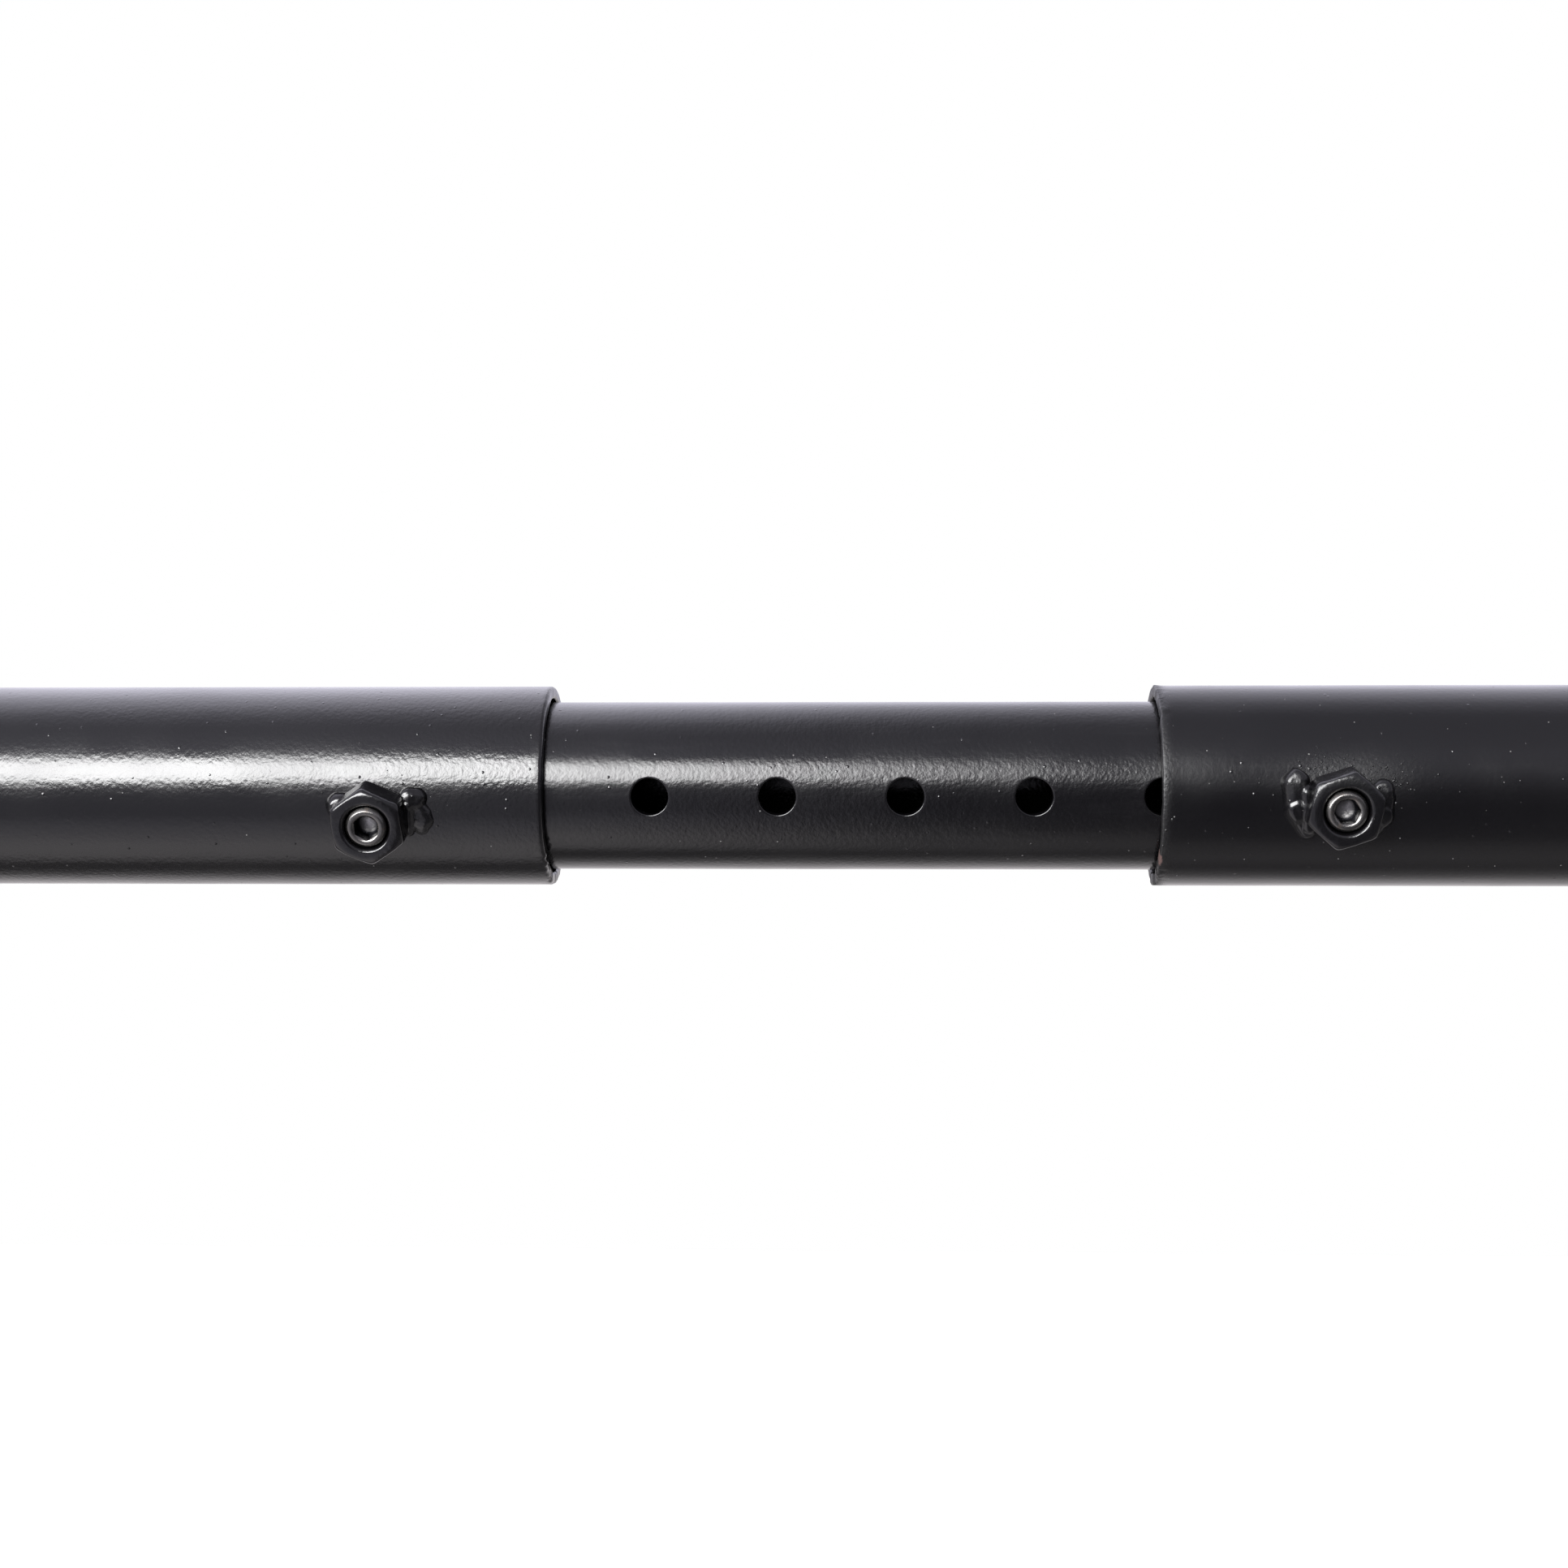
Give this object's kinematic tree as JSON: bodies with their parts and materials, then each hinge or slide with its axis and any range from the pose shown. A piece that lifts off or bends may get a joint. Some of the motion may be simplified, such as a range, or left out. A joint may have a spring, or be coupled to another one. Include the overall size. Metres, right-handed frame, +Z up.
{
  "type": "spreader beam",
  "caption": "Telescopic tubular spreader beam: a perforated inner tube between set-screw-clamped outer tubes, with a lug plate and bow shackles at each end.",
  "frame": {"origin": "centre of the bounding box at rest, on the tubes' axis midway between the mouths of the outer tubes", "axes": "+X along the beam, +Z up towards the sling shackles, set screws facing -Y"},
  "size_m": [0.878, 0.0954, 0.2298],
  "materials": {
    "outer_paint": "glossy black powder coat with light orange peel",
    "inner_paint": "glossy black powder coat, rubbed by the outer tubes",
    "painted_weld": "black powder coat over nuts and rough weld metal",
    "bare_screw": "machined bare steel, lightly oiled",
    "galvanised": "hot-dip galvanised forged steel"
  },
  "bodies": {
    "inner": {"inner_tube": "inner_paint"},
    "left_outer": {"outer_tube_left": "outer_paint", "weld_nut_left": "painted_weld", "nut_weld_left": "painted_weld", "lug_plate_left": "outer_paint", "lug_weld_left": "painted_weld", "end_cap_left": "outer_paint", "cap_weld_left": "painted_weld"},
    "left_screw": {"set_screw_left": "bare_screw"},
    "top_left_shackle": {"shackle_bow_top_left": "galvanised"},
    "top_left_pin": {"shackle_pin_top_left": "galvanised"},
    "bottom_left_shackle": {"shackle_bow_bottom_left": "galvanised"},
    "bottom_left_pin": {"shackle_pin_bottom_left": "galvanised"},
    "right_outer": {"outer_tube_right": "outer_paint", "weld_nut_right": "painted_weld", "nut_weld_right": "painted_weld", "lug_plate_right": "outer_paint", "lug_weld_right": "painted_weld", "end_cap_right": "outer_paint", "cap_weld_right": "painted_weld"},
    "right_screw": {"set_screw_right": "bare_screw"},
    "top_right_shackle": {"shackle_bow_top_right": "galvanised"},
    "top_right_pin": {"shackle_pin_top_right": "galvanised"},
    "bottom_right_shackle": {"shackle_bow_bottom_right": "galvanised"},
    "bottom_right_pin": {"shackle_pin_bottom_right": "galvanised"}
  },
  "joints": [
    {"name": "left_extend", "type": "slide", "parent": "inner", "child": "left_outer", "axis": [-1, 0, 0], "range_m": [-0.074, 0.074]},
    {"name": "left_screw_travel", "type": "slide", "parent": "left_outer", "child": "left_screw", "axis": [0, -0.95, -0.3123], "range_m": [0, 0.008]},
    {"name": "top_left_swing", "type": "hinge", "parent": "left_outer", "child": "top_left_shackle", "pos_m": [-0.381, 0, 0.046], "axis": [0, -1, 0], "range_deg": [-101, 114]},
    {"name": "top_left_pin_draw", "type": "slide", "parent": "top_left_shackle", "child": "top_left_pin", "axis": [0, -1, 0], "range_m": [0, 0.048]},
    {"name": "bottom_left_swing", "type": "hinge", "parent": "left_outer", "child": "bottom_left_shackle", "pos_m": [-0.381, 0, -0.046], "axis": [0, 1, 0], "range_deg": [-101, 114]},
    {"name": "bottom_left_pin_draw", "type": "slide", "parent": "bottom_left_shackle", "child": "bottom_left_pin", "axis": [0, -1, 0], "range_m": [0, 0.048]},
    {"name": "right_extend", "type": "slide", "parent": "inner", "child": "right_outer", "axis": [1, 0, 0], "range_m": [-0.074, 0.074]},
    {"name": "right_screw_travel", "type": "slide", "parent": "right_outer", "child": "right_screw", "axis": [0, -0.982, -0.1891], "range_m": [0, 0.008]},
    {"name": "top_right_swing", "type": "hinge", "parent": "right_outer", "child": "top_right_shackle", "pos_m": [0.381, 0, 0.046], "axis": [0, 1, 0], "range_deg": [-101, 114]},
    {"name": "top_right_pin_draw", "type": "slide", "parent": "top_right_shackle", "child": "top_right_pin", "axis": [0, 1, 0], "range_m": [0, 0.048]},
    {"name": "bottom_right_swing", "type": "hinge", "parent": "right_outer", "child": "bottom_right_shackle", "pos_m": [0.381, 0, -0.046], "axis": [0, -1, 0], "range_deg": [-101, 114]},
    {"name": "bottom_right_pin_draw", "type": "slide", "parent": "bottom_right_shackle", "child": "bottom_right_pin", "axis": [0, 1, 0], "range_m": [0, 0.048]}
  ]
}
